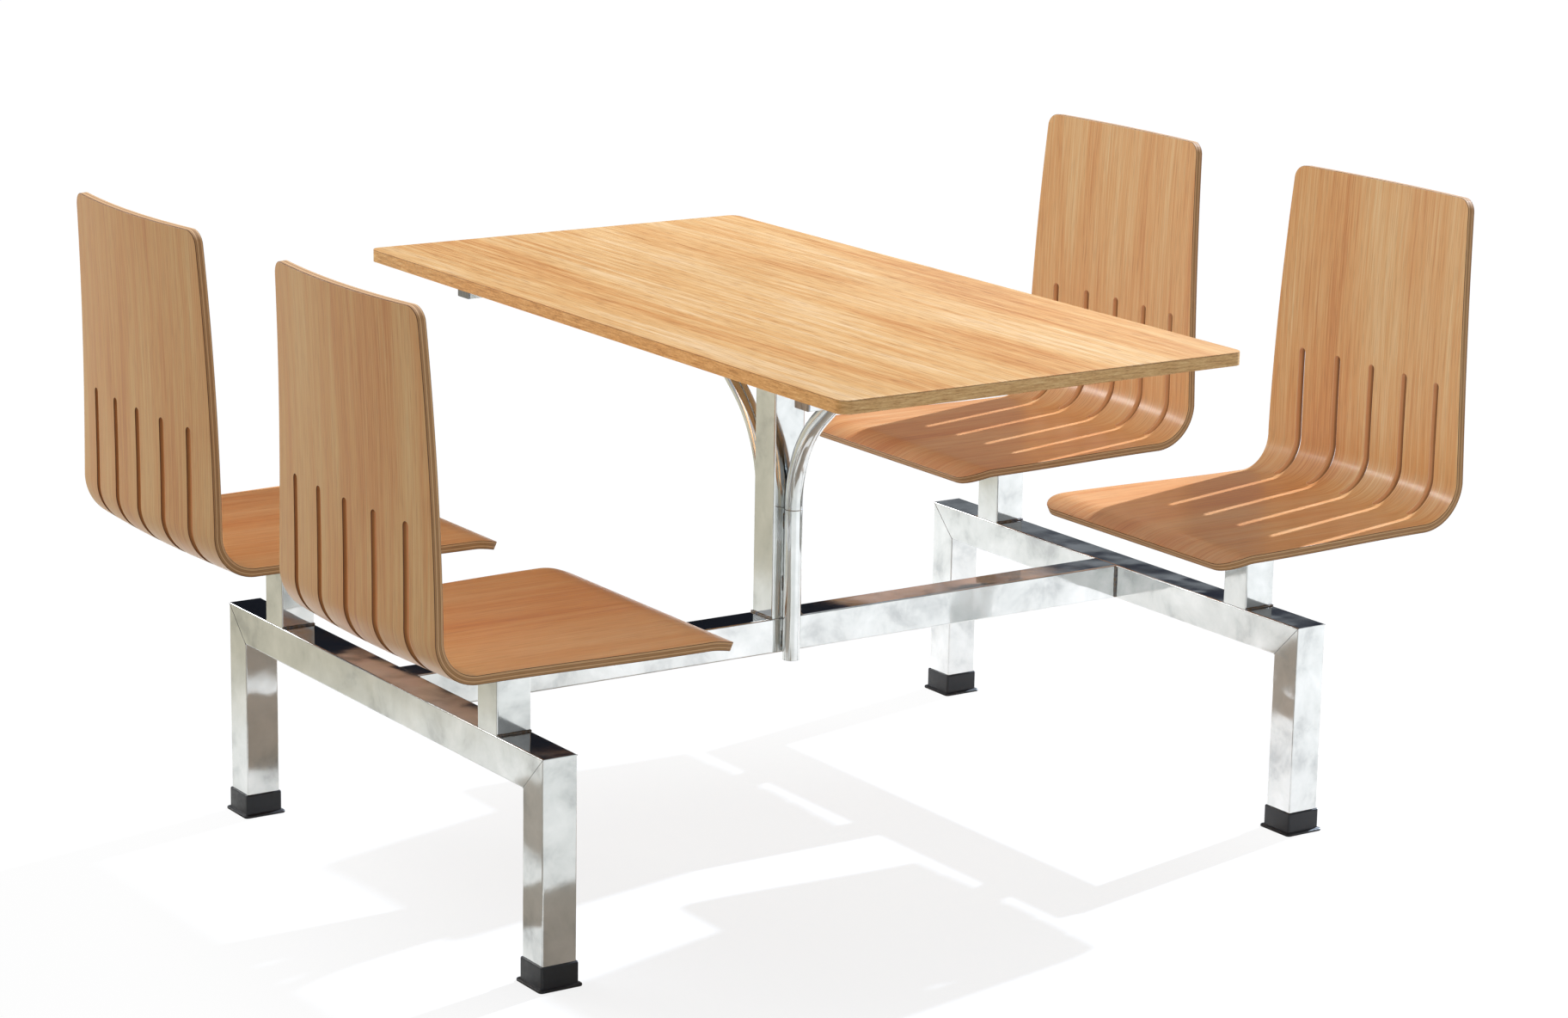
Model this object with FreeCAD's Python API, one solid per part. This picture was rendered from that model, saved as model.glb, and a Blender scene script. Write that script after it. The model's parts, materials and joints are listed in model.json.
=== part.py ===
import FreeCAD, Part
import math
import os

# Canteen table for four with swivel seats on one welded stainless frame, in millimetres.
# Origin: on the floor under the middle of the frame. +X runs across the table from the
# left pair of seats to the right pair, +Y along the table from front to rear, +Z is up.

# ---------------------------------------------------------------- driving dimensions
table_height = 760.0
top_length = 1224.0
top_width = 640.0
top_thickness = 18.0
top_corner_radius = 16.0
veneer_thickness = 0.8
edge_band_thickness = 1.0

frame_width = 1280.0          # over the outer faces of the two beams
beam_length = 876.0
beam_top = 305.5
tube_size = 50.0
tube_wall = 1.5
tube_corner_radius = 2.0
seat_pitch = 596.0            # between the two seats on one beam

rail_size = 32.0
rail_wall = 1.5
rail_corner_radius = 1.5
cross_rail_end_inset = 59.0   # from the long edge of the tabletop to the rail's end plate
cross_rail_inset = 175.0      # from the short edge of the tabletop to the rail's centre
end_plate_thickness = 2.0

brace_diameter = 25.0
brace_wall = 1.5
brace_bend_start = 470.0
brace_bend_radius = 180.0
brace_bend_angle = 50.0
brace_drop = 8.0              # below the underside of the stretcher

cap_height = 32.5
cap_wall = 2.5
cap_floor = 4.0
cap_flange = 7.0
cap_flange_height = 4.0
cap_corner_radius = 3.5

pan_height = 447.0
shell_thickness = 12.0
pan_front_reach = 223.0       # from the swivel axis to the front edge
lip_length = 50.0
lip_radius = 106.0
bend_reach = 147.5            # from the swivel axis to where the pan starts to bend
bend_radius = 53.0
back_foot_lean = -0.4         # the back leans in a little at its foot and out at its head
back_head_lean = 3.9
back_height = 903.0
pan_front_width = 426.0
pan_rear_width = 396.0
back_foot_width = 409.0
back_head_width = 367.0
back_taper_power = 1.2
back_bow = 12.5
front_corner_radius = 34.0
back_corner_radius = 20.0
slot_count = 5
slot_pitch = 72.0
slot_width = 12.0
slot_top = 635.5
slot_foot_angle = 26.0

seat_plate_length = 180.0
seat_plate_width = 160.0
seat_plate_thickness = 5.0
seat_plate_corner_radius = 12.0
seat_screw_spacing_x = 140.0
seat_screw_spacing_y = 120.0
seat_screw_radius = 3.0
seat_screw_head_radius = 5.5
seat_screw_head_height = 3.5
seat_screw_engagement = 7.0
insert_radius = 4.5
insert_length = 9.0
insert_floor = 1.0

spindle_radius = 10.0
collar_radius = 17.0
collar_height = 24.0
stop_sector_radius = 24.5
stop_sector_height = 9.0
stop_pin_radius = 3.0
stop_pin_offset = 21.0
stop_pin_height = 10.0
swivel_limit = 90.0
stop_margin = 0.3
housing_flange_height = 5.0
housing_radius = 19.0
housing_share = 0.62          # of the height from the beam to the top of the housing
bush_wall = 2.0
bush_share = 1 / 3            # of the housing's length, for each of its two bushes
bush_flange_radius = 15.0
bush_flange_height = 2.0
ring_groove_depth = 1.0
ring_radius = 14.0
ring_height = 1.2
ring_gap = 6.0
spindle_tip = 2.5

wood_screw_radius = 2.4
wood_screw_head_radius = 5.0
wood_screw_head_height = 3.0
wood_screw_bite = 11.0
cross_rail_screw_inset = 43.0 # from the end plate's face
long_rail_screw_shares = (0.28, 0.75)

slip_clearance = 0.05         # a part that slides into another by hand
press_clearance = 0.02
running_clearance = 0.05      # between the spindle and its bushes, on the radius
axial_play = 0.1
ring_play = 0.3
weld_gap = 0.05               # between a round tube and the flat it is welded along
overshoot = 1.0               # how far a hole's cutter runs past the face that it opens
cutter_reach = 400.0          # the size of a cutting body that takes all on one side
least_inner_radius = 0.2      # inside a tube's corner

# ---------------------------------------------------------------- derived places
beam_centre_x = (frame_width - tube_size) / 2
leg_centre_y = (beam_length - tube_size) / 2
beam_centre_z = beam_top - tube_size / 2
stretcher_length = frame_width - 2 * tube_size
top_underside = table_height - top_thickness
rail_underside = top_underside - rail_size
wood_screw_tip = top_underside + veneer_thickness + wood_screw_bite
cross_rail_length = top_width - 2 * cross_rail_end_inset
cross_rail_y = top_length / 2 - cross_rail_inset
cross_rail_screw_x = cross_rail_length / 2 - cross_rail_screw_inset
long_rail_screw_ys = [share * cross_rail_y for share in long_rail_screw_shares]
long_rail_length = 2 * cross_rail_y - rail_size
brace_offset = (tube_size + brace_diameter) / 2 + weld_gap
pan_underside = pan_height - shell_thickness
plate_underside = pan_underside - seat_plate_thickness
collar_foot = plate_underside - collar_height
post_top = collar_foot - axial_play - bush_flange_height - housing_flange_height
housing_top = post_top + housing_flange_height
housing_length = housing_share * (housing_top - beam_top)
housing_foot = housing_top - housing_length
bush_length = bush_share * housing_length
bush_bore_radius = spindle_radius + running_clearance
bush_radius = spindle_radius + bush_wall
housing_bore_radius = bush_radius + press_clearance
ring_top = housing_foot - bush_flange_height - ring_play
back_foot_x = bend_reach + bend_radius * math.cos(math.radians(back_foot_lean))
back_foot_z = pan_height + bend_radius * (1 - math.sin(math.radians(back_foot_lean)))

parts = {}


def vec(x, y, z):
    return FreeCAD.Vector(x, y, z)


X_AXIS = vec(1, 0, 0)
Y_AXIS = vec(0, 1, 0)
Z_AXIS = vec(0, 0, 1)


def block(size_x, size_y, low_z, high_z, radius=0.0):
    """An upright block centred on the Z axis, with its four upright edges rounded."""
    body = Part.makeBox(size_x, size_y, high_z - low_z, vec(-size_x / 2, -size_y / 2, low_z))
    if radius > 0:
        upright = [e for e in body.Edges if abs(e.tangentAt(e.FirstParameter).z) > 0.9]
        body = body.makeFillet(radius, upright)
    return body


def disc(radius, low_z, high_z, x=0.0, y=0.0):
    return Part.makeCylinder(radius, high_z - low_z, vec(x, y, low_z))


def square_tube(size, wall, radius, low, high):
    """A square tube along Z from low to high, centred on the Z axis."""
    inner = size - 2 * wall
    outside = block(size, size, low, high, radius)
    inner_radius = max(radius - wall, least_inner_radius)
    inside = block(inner, inner, low - overshoot, high + overshoot, inner_radius)
    return outside.cut(inside)


def turned(shape, axis, angle):
    result = shape.copy()
    result.rotate(vec(0, 0, 0), axis, angle)
    return result


def moved(shape, x, y, z):
    result = shape.copy()
    result.translate(vec(x, y, z))
    return result


def prism_yz(points, low_x, high_x):
    """A prism with the (y, z) outline given, running along X."""
    wire = Part.makePolygon([vec(low_x, y, z) for y, z in points + points[:1]])
    return Part.Face(wire).extrude(vec(high_x - low_x, 0, 0))


def add(name, solids):
    """Keep a node: one solid, or a group of like solids."""
    group = solids if isinstance(solids, list) else [solids]
    flat = [s for shape in group for s in shape.Solids]
    parts[name] = flat[0] if len(flat) == 1 else Part.makeCompound(flat)


# ---------------------------------------------------------------- end frames
def build_beam():
    """A beam along Y at x = 0, mitred at both ends to meet its legs."""
    half = beam_length / 2
    tube = square_tube(tube_size, tube_wall, tube_corner_radius, -half, half)
    tube = moved(turned(tube, X_AXIS, 90), 0, 0, beam_centre_z)
    foot = beam_top - tube_size
    outline = [(-half, beam_top), (half, beam_top), (half - tube_size, foot), (tube_size - half, foot)]
    return tube.common(prism_yz(outline, -tube_size, tube_size))


def build_leg(side_y):
    """A leg under one end of a beam, mitred at its head; it stands on the floor of its cap."""
    tube = square_tube(tube_size, tube_wall, tube_corner_radius, cap_floor, beam_top)
    tube = moved(tube, 0, side_y * leg_centre_y, 0)
    outer = side_y * beam_length / 2
    inner = side_y * (beam_length / 2 - tube_size)
    outline = [(outer, cap_floor), (inner, cap_floor), (inner, beam_top - tube_size), (outer, beam_top)]
    return tube.common(prism_yz(outline, -tube_size, tube_size))


def build_foot_cap():
    """A moulded cap that slips over the end of a leg and spreads into a thin flange."""
    outer = tube_size + 2 * cap_wall
    flange = outer + 2 * (cap_flange - cap_wall)
    pocket = tube_size + 2 * slip_clearance
    body = block(outer, outer, 0, cap_height, cap_corner_radius)
    body = body.fuse(block(flange, flange, 0, cap_flange_height, cap_corner_radius)).removeSplitter()
    return body.cut(block(pocket, pocket, cap_floor, cap_height + overshoot, tube_corner_radius))


def build_end_frames():
    cap = build_foot_cap()
    for side, side_x in (("left", -1), ("right", 1)):
        x = side_x * beam_centre_x
        add("beam_" + side, moved(build_beam(), x, 0, 0))
        for end, side_y in (("front", -1), ("rear", 1)):
            place = side + "_" + end
            add("leg_" + place, moved(build_leg(side_y), x, 0, 0))
            add("foot_cap_" + place, moved(cap, x, side_y * leg_centre_y, 0))


# ---------------------------------------------------------------- middle of the frame
def build_stretcher():
    half = stretcher_length / 2
    tube = square_tube(tube_size, tube_wall, tube_corner_radius, -half, half)
    return moved(turned(tube, Y_AXIS, 90), 0, 0, beam_centre_z)


def build_column():
    return square_tube(tube_size, tube_wall, tube_corner_radius, beam_top, rail_underside)


def build_brace(side_y):
    """A round tube up the face of the column that bends outwards to meet the long rail."""
    angle = math.radians(brace_bend_angle)
    foot = beam_top - tube_size - brace_drop
    bend_y = brace_offset + brace_bend_radius
    half_y = bend_y - brace_bend_radius * math.cos(angle / 2)
    half_z = brace_bend_start + brace_bend_radius * math.sin(angle / 2)
    end_y = bend_y - brace_bend_radius * math.cos(angle)
    end_z = brace_bend_start + brace_bend_radius * math.sin(angle)
    run = (rail_underside - end_z) / math.cos(angle) + brace_diameter * 2
    start = vec(0, side_y * brace_offset, foot)
    bend_foot = vec(0, side_y * brace_offset, brace_bend_start)
    bend_middle = vec(0, side_y * half_y, half_z)
    bend_head = vec(0, side_y * end_y, end_z)
    head = vec(0, side_y * (end_y + run * math.sin(angle)), end_z + run * math.cos(angle))
    path = Part.Wire([
        Part.LineSegment(start, bend_foot).toShape(),
        Part.Arc(bend_foot, bend_middle, bend_head).toShape(),
        Part.LineSegment(bend_head, head).toShape(),
    ])
    bodies = []
    for radius in (brace_diameter / 2, brace_diameter / 2 - brace_wall):
        ring = Part.Wire([Part.makeCircle(radius, start, Z_AXIS)])
        bodies.append(path.makePipeShell([ring], True, False))
    tube = bodies[0].cut(bodies[1])
    above = Part.makeBox(cutter_reach, 2 * cutter_reach, cutter_reach,
                         vec(-cutter_reach / 2, -cutter_reach, rail_underside))
    return tube.cut(above)


def build_long_rail():
    half = long_rail_length / 2
    tube = square_tube(rail_size, rail_wall, rail_corner_radius, -half, half)
    tube = moved(turned(tube, X_AXIS, 90), 0, 0, rail_underside + rail_size / 2)
    holes = [screw_hole(0, side * y) for y in long_rail_screw_ys for side in (-1, 1)]
    return tube.cut(holes)


def build_cross_rail(side_y):
    half = cross_rail_length / 2 - end_plate_thickness
    tube = square_tube(rail_size, rail_wall, rail_corner_radius, -half, half)
    y = side_y * cross_rail_y
    tube = moved(turned(tube, Y_AXIS, 90), 0, y, rail_underside + rail_size / 2)
    holes = [screw_hole(side * cross_rail_screw_x, y) for side in (-1, 1)]
    return tube.cut(holes)


def build_end_plates():
    """Square plates welded over the open ends of the two cross rails and ground flush."""
    plate = turned(block(rail_size, rail_size, 0, end_plate_thickness, rail_corner_radius), Y_AXIS, 90)
    place = cross_rail_length / 2 - end_plate_thickness
    height = rail_underside + rail_size / 2
    plates = []
    for side_y in (-1, 1):
        plates.append(moved(plate, place, side_y * cross_rail_y, height))
        plates.append(moved(turned(plate, Z_AXIS, 180), -place, side_y * cross_rail_y, height))
    return plates


def build_middle():
    add("stretcher", build_stretcher())
    add("column", build_column())
    for end, side_y in (("front", -1), ("rear", 1)):
        add("brace_" + end, build_brace(side_y))
        add("cross_rail_" + end, build_cross_rail(side_y))
    add("long_rail", build_long_rail())
    add("rail_end_plates", build_end_plates())


# ---------------------------------------------------------------- tabletop
def screw_places():
    places = []
    for side_x in (-1, 1):
        for side_y in (-1, 1):
            places.append((side_x * cross_rail_screw_x, side_y * cross_rail_y))
    for y in long_rail_screw_ys:
        for side_y in (-1, 1):
            places.append((0, side_y * y))
    return places


def screw_hole(x, y):
    radius = wood_screw_radius + slip_clearance
    return disc(radius, rail_underside - overshoot, wood_screw_tip + slip_clearance, x, y)


def build_wood_screw(x, y):
    shank = disc(wood_screw_radius, rail_underside, wood_screw_tip, x, y)
    head_foot = rail_underside - wood_screw_head_height
    head = disc(wood_screw_head_radius, head_foot, rail_underside, x, y)
    return shank.fuse(head).removeSplitter()


def build_tabletop():
    """A board with a wood veneer on both faces and a band round its edge."""
    core_low = top_underside + veneer_thickness
    core_high = table_height - veneer_thickness
    inset = 2 * edge_band_thickness
    core_radius = top_corner_radius - edge_band_thickness
    core = block(top_width - inset, top_length - inset, core_low, core_high, core_radius)
    rim = block(top_width, top_length, core_low, core_high, top_corner_radius)
    face = block(top_width, top_length, core_high, table_height, top_corner_radius)
    backing = block(top_width, top_length, top_underside, core_low, top_corner_radius)
    holes = [screw_hole(x, y) for x, y in screw_places()]
    add("tabletop_core", core.cut(holes))
    add("tabletop_edge_band", rim.cut(core))
    add("tabletop_face_veneer", face)
    add("tabletop_backing", backing.cut(holes))
    add("tabletop_screws", [build_wood_screw(x, y) for x, y in screw_places()])


# ---------------------------------------------------------------- seat shell
def smooth(t):
    return t * t * (3 - 2 * t)


def lip_stations(count):
    """The front edge, rolled down: places, outward normals, half widths and bow."""
    stations = []
    angle_end = math.asin(lip_length / lip_radius)
    for i in range(count):
        a = angle_end * (1 - i / count)
        x = lip_length - pan_front_reach - lip_radius * math.sin(a)
        z = pan_height - lip_radius * (1 - math.cos(a))
        stations.append((x, z, math.sin(a), -math.cos(a), pan_front_width / 2, 0.0))
    return stations


def pan_stations(count):
    stations = []
    start = lip_length - pan_front_reach
    for i in range(count):
        t = i / count
        half = (pan_front_width + (pan_rear_width - pan_front_width) * smooth(t)) / 2
        stations.append((start + (bend_reach - start) * t, pan_height, 0.0, -1.0, half, 0.0))
    return stations


def bend_stations(count):
    stations = []
    angle_end = math.radians(90 - back_foot_lean)
    for i in range(count):
        t = i / count
        a = angle_end * t
        x = bend_reach + bend_radius * math.sin(a)
        z = pan_height + bend_radius * (1 - math.cos(a))
        half = (pan_rear_width + (back_foot_width - pan_rear_width) * t) / 2
        stations.append((x, z, math.sin(a), -math.cos(a), half, back_bow * smooth(t)))
    return stations


def back_half_width(t):
    """Half the width of the back at t, which runs from 0 at its foot to 1 at its head."""
    return (back_foot_width - (back_foot_width - back_head_width) * t ** back_taper_power) / 2


def back_stations(count):
    """The back, whose lean grows evenly from its foot to its head."""
    stations = []
    foot_slope = math.tan(math.radians(back_foot_lean))
    head_slope = math.tan(math.radians(back_head_lean))
    for i in range(count + 1):
        t = i / count
        rise = (back_height - back_foot_z) * t
        x = back_foot_x + rise * (foot_slope + (head_slope - foot_slope) * t / 2)
        lean = math.atan(foot_slope + (head_slope - foot_slope) * t)
        half = back_half_width(t)
        stations.append((x, back_foot_z + rise, math.cos(lean), -math.sin(lean), half, back_bow))
    return stations


def shell_surface(stations, depth):
    """The sitter's face of the shell (depth 0) or the face at a depth behind it."""
    columns = 8
    grid = []
    for x, z, nx, nz, half, bow in stations:
        row = []
        for j in range(columns + 1):
            v = 2 * j / columns - 1
            push = depth + bow * (1 - v * v)
            row.append(vec(x + nx * push, v * half, z + nz * push))
        grid.append(row)
    surface = Part.BSplineSurface()
    surface.interpolate(grid)
    return surface


def corner_cutter(radius, length):
    """What a rounded corner leaves over: a square rod along Z less its round, corner at +X +Y."""
    square = Part.makeBox(cutter_reach, cutter_reach, length)
    return square.cut(disc(radius, -overshoot, length + overshoot))


def back_corner_cutters():
    centre_z = back_height - back_corner_radius
    half = back_half_width((centre_z - back_foot_z) / (back_height - back_foot_z))
    rod = turned(corner_cutter(back_corner_radius, cutter_reach), X_AXIS, 90)
    rod = turned(rod, Z_AXIS, 90)
    right = moved(rod, 0, half - back_corner_radius, centre_z)
    return [right, right.mirror(vec(0, 0, 0), Y_AXIS)]


def front_corner_cutters():
    rod = turned(corner_cutter(front_corner_radius, cutter_reach), Z_AXIS, 90)
    half = pan_front_width / 2 - front_corner_radius
    left = moved(rod, front_corner_radius - pan_front_reach, half, pan_height - cutter_reach / 2)
    return [left, left.mirror(vec(0, 0, 0), Y_AXIS)]


def slot_cutters():
    """Slots through the bend, open on both faces, with round ends."""
    angle = math.radians(slot_foot_angle)
    near = bend_radius - shell_thickness
    far = bend_radius + 2 * shell_thickness + back_bow
    centre_z = pan_height + bend_radius
    head_z = slot_top - slot_width / 2
    out_x = math.sin(angle)
    out_z = -math.cos(angle)
    half_angle = (math.radians(90) + angle) / 2

    def on_arc(radius, a):
        return vec(bend_reach + radius * math.sin(a), 0, centre_z - radius * math.cos(a))

    low_near = on_arc(near, angle)
    low_far = on_arc(far, angle)
    high_near = on_arc(near, math.radians(90))
    high_far = on_arc(far, math.radians(90))
    head_far = vec(high_far.x, 0, head_z)
    head_near = vec(high_near.x, 0, head_z)
    outline = Part.Wire([
        Part.LineSegment(low_near, low_far).toShape(),
        Part.Arc(low_far, on_arc(far, half_angle), high_far).toShape(),
        Part.LineSegment(high_far, head_far).toShape(),
        Part.LineSegment(head_far, head_near).toShape(),
        Part.LineSegment(head_near, high_near).toShape(),
        Part.Arc(high_near, on_arc(near, half_angle), low_near).toShape(),
    ])
    strip = Part.Face(outline).extrude(vec(0, slot_width, 0))
    strip.translate(vec(0, -slot_width / 2, 0))
    foot_round = Part.makeCylinder(slot_width / 2, far - near, low_near, vec(out_x, 0, out_z))
    head_round = Part.makeCylinder(slot_width / 2, far - near, head_near, X_AXIS)
    cutters = []
    for i in range(slot_count):
        y = (i - (slot_count - 1) / 2) * slot_pitch
        cutters += [moved(piece, 0, y, 0) for piece in (strip, foot_round, head_round)]
    return cutters


def seat_screw_places():
    places = []
    for side_x in (-1, 1):
        for side_y in (-1, 1):
            places.append((side_x * seat_screw_spacing_x / 2, side_y * seat_screw_spacing_y / 2))
    return places


def build_seat_shell():
    """One moulded plywood shell: rolled front edge, flat pan, slotted bend, bowed back.

    Its underside is dressed flat where the seat plate bears on it.
    """
    stations = lip_stations(4) + pan_stations(7) + bend_stations(10) + back_stations(12)
    front = shell_surface(stations, 0.0)
    rear = shell_surface(stations, shell_thickness)
    faces = [front.toShape(), rear.toShape()]
    u_low, u_high, v_low, v_high = front.bounds()
    for iso, places in (("uIso", (u_low, u_high)), ("vIso", (v_low, v_high))):
        for place in places:
            pair = [getattr(surface, iso)(place).toShape() for surface in (front, rear)]
            faces.append(Part.makeRuledSurface(pair[0], pair[1]))
    skin = Part.makeShell(faces)
    skin.sewShape()
    shell = Part.makeSolid(Part.Shell(skin.Faces))
    if shell.Volume < 0:
        shell.reverse()
    shell = shell.cut(back_corner_cutters() + front_corner_cutters() + slot_cutters())
    holes = [disc(insert_radius + press_clearance, pan_underside - overshoot,
                  pan_underside + insert_length + press_clearance, x, y)
             for x, y in seat_screw_places()]
    plate_bed = block(seat_plate_length, seat_plate_width, plate_underside, pan_underside)
    return shell.cut(holes + [plate_bed])


# ---------------------------------------------------------------- swivel and seat fixings
def build_seat_plate():
    plate = block(seat_plate_length, seat_plate_width, plate_underside, pan_underside,
                  seat_plate_corner_radius)
    low = plate_underside - overshoot
    high = pan_underside + overshoot
    holes = [disc(spindle_radius + press_clearance, low, high)]
    for x, y in seat_screw_places():
        holes.append(disc(seat_screw_radius + slip_clearance, low, high, x, y))
    return plate.cut(holes)


def build_spindle():
    """A turned spindle: pilot in the seat plate, collar with its stop sector, shaft, groove."""
    tip = ring_top - ring_height - spindle_tip
    shaft = disc(spindle_radius, tip, pan_underside)
    collar = disc(collar_radius, collar_foot, plate_underside)
    pin_half_angle = math.degrees(math.asin(stop_pin_radius / stop_pin_offset))
    half_angle = 180 - swivel_limit - pin_half_angle - stop_margin
    sector = Part.makeCylinder(stop_sector_radius, stop_sector_height,
                               vec(0, 0, collar_foot + axial_play), Z_AXIS, 2 * half_angle)
    sector = turned(sector, Z_AXIS, 180 - half_angle)
    groove = disc(spindle_radius + overshoot, ring_top - ring_height, ring_top)
    groove = groove.cut(disc(spindle_radius - ring_groove_depth, ring_top - ring_height, ring_top))
    return shaft.fuse([collar, sector]).removeSplitter().cut(groove)


def build_seat_screw(x, y):
    head = disc(seat_screw_head_radius, plate_underside - seat_screw_head_height, plate_underside, x, y)
    shank = disc(seat_screw_radius, plate_underside, pan_underside + seat_screw_engagement, x, y)
    return head.fuse(shank).removeSplitter()


def build_insert(x, y):
    sleeve = disc(insert_radius, pan_underside, pan_underside + insert_length, x, y)
    bore = disc(seat_screw_radius + slip_clearance, pan_underside - overshoot,
                pan_underside + insert_length - insert_floor, x, y)
    return sleeve.cut(bore)


def build_retaining_ring():
    ring_foot = ring_top - ring_height
    ring = disc(ring_radius, ring_foot, ring_top)
    low = ring_foot - overshoot
    high = ring_top + overshoot
    bore = disc(spindle_radius - ring_groove_depth + slip_clearance, low, high)
    mouth = Part.makeBox(ring_radius * 2, ring_gap, high - low, vec(0, -ring_gap / 2, low))
    return ring.cut([bore, mouth])


def build_seat_post():
    return square_tube(tube_size, tube_wall, tube_corner_radius, beam_top, post_top)


def build_bearing_housing():
    """A flange welded on the post with a barrel inside it, bored for two bushes, and a stop pin."""
    flange = block(tube_size, tube_size, post_top, housing_top, tube_corner_radius)
    barrel = disc(housing_radius, housing_foot, post_top)
    pin = disc(stop_pin_radius, housing_top, housing_top + stop_pin_height, stop_pin_offset)
    bore = disc(housing_bore_radius, housing_foot - overshoot, housing_top + overshoot)
    return flange.fuse([barrel, pin]).removeSplitter().cut(bore)


def build_bushes():
    sleeve_top = disc(bush_radius, housing_top - bush_length, housing_top)
    flange_top = disc(bush_flange_radius, housing_top, housing_top + bush_flange_height)
    sleeve_foot = disc(bush_radius, housing_foot, housing_foot + bush_length)
    flange_foot = disc(bush_flange_radius, housing_foot - bush_flange_height, housing_foot)
    bore = disc(bush_bore_radius, beam_top, pan_height)
    upper = sleeve_top.fuse(flange_top).removeSplitter().cut(bore)
    lower = sleeve_foot.fuse(flange_foot).removeSplitter().cut(bore)
    return [upper, lower]


def build_seats():
    """Each seat is built on the swivel axis facing -X, then turned and moved to its post."""
    pieces = {
        "seat_post": [build_seat_post()],
        "bearing_housing": [build_bearing_housing()],
        "swivel_bushes": build_bushes(),
        "swivel_spindle": [build_spindle()],
        "retaining_ring": [build_retaining_ring()],
        "seat_plate": [build_seat_plate()],
        "seat_screws": [build_seat_screw(x, y) for x, y in seat_screw_places()],
        "seat_inserts": [build_insert(x, y) for x, y in seat_screw_places()],
        "seat_shell": [build_seat_shell()],
    }
    for side, side_x, angle in (("left", -1, 180), ("right", 1, 0)):
        for end, side_y in (("front", -1), ("rear", 1)):
            x = side_x * beam_centre_x
            y = side_y * seat_pitch / 2
            for name, solids in pieces.items():
                placed = [moved(turned(s, Z_AXIS, angle), x, y, 0) for s in solids]
                add(name + "_" + side + "_" + end, placed)


build_end_frames()
build_middle()
build_tabletop()
build_seats()

os.makedirs("parts", exist_ok=True)
for name, shape in parts.items():
    if not shape.isValid():
        raise ValueError("not a valid shape: " + name)
    shape.exportStep("parts/" + name + ".step")
    print(name, len(shape.Solids), round(shape.Volume / 1000.0, 2), "cm3")
print(len(parts), "nodes")
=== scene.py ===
import functools
import json
import math
import bmesh
import bpy
from mathutils import Matrix, Vector


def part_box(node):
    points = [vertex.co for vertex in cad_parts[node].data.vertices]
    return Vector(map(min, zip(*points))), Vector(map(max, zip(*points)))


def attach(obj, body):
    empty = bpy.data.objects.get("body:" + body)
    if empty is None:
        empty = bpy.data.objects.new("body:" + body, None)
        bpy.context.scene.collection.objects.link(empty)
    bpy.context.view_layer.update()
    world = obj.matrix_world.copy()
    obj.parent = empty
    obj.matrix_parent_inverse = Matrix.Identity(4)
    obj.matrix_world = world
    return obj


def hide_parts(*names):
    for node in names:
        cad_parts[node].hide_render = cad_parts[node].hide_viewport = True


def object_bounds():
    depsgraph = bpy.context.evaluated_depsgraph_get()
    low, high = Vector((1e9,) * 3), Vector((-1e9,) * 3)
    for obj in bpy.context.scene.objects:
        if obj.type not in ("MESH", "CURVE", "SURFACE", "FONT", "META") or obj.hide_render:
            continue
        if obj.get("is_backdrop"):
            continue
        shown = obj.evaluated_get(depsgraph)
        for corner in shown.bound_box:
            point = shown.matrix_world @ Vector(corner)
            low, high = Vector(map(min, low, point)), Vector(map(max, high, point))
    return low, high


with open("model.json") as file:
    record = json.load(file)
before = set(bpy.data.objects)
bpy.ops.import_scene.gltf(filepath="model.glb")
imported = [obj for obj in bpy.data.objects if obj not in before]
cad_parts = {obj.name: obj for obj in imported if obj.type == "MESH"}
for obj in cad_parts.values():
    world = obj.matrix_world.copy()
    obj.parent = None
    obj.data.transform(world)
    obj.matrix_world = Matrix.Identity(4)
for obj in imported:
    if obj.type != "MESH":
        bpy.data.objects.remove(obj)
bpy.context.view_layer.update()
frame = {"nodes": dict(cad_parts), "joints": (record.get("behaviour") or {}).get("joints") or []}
nodes = frame["nodes"]

# ---------------- welded frame
# Beams, legs, stretcher, column, posts and rails are cut from drawn stainless square tube,
# and the braces from round tube. They are welded, ground at the mitres and buffed to a mirror,
# which leaves soft hand-buffed clouds and slightly wavy flats.


def linear(code):
    """An sRGB hex colour as linear RGBA."""
    parts = [int(code[i:i + 2], 16) / 255 for i in (0, 2, 4)]
    return tuple(p / 12.92 if p <= 0.04045 else ((p + 0.055) / 1.055) ** 2.4 for p in parts) + (1.0,)


def feed(node, inputs):
    """Set a node's inputs, by name or in their order. A node given as an input is linked by its
    first output in use, a socket is linked, and anything else is set."""
    if isinstance(inputs, dict):
        pairs = [(node.inputs[name], value) for name, value in inputs.items()]
    else:
        pairs = list(zip([socket for socket in node.inputs if socket.enabled], inputs))
    for socket, value in pairs:
        if isinstance(value, bpy.types.Node):
            value = next(out for out in value.outputs if out.enabled)
        if isinstance(value, bpy.types.NodeSocket):
            node.id_data.links.new(value, socket)
        else:
            socket.default_value = value


def add_node(tree, kind, inputs=(), stops=(), **settings):
    """Add a node with its settings, its colour stops (place, hex colour) and its inputs. A kind
    without a prefix is a shader node."""
    node = tree.nodes.new(kind if "Node" in kind else "ShaderNode" + kind)
    for name, value in settings.items():
        setattr(node, name, value)
    if stops:
        elements = node.color_ramp.elements
        while len(elements) < len(stops):
            elements.new(0.5)
        for element, (place, colour) in zip(elements, stops):
            element.position = place
            element.color = linear(colour)
    feed(node, inputs)
    return node


def emptied(owner):
    """Clear the nodes of a new material or world, and return add_node tied to its tree."""
    owner.use_nodes = True
    owner.node_tree.nodes.clear()
    return functools.partial(add_node, owner.node_tree)


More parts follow.
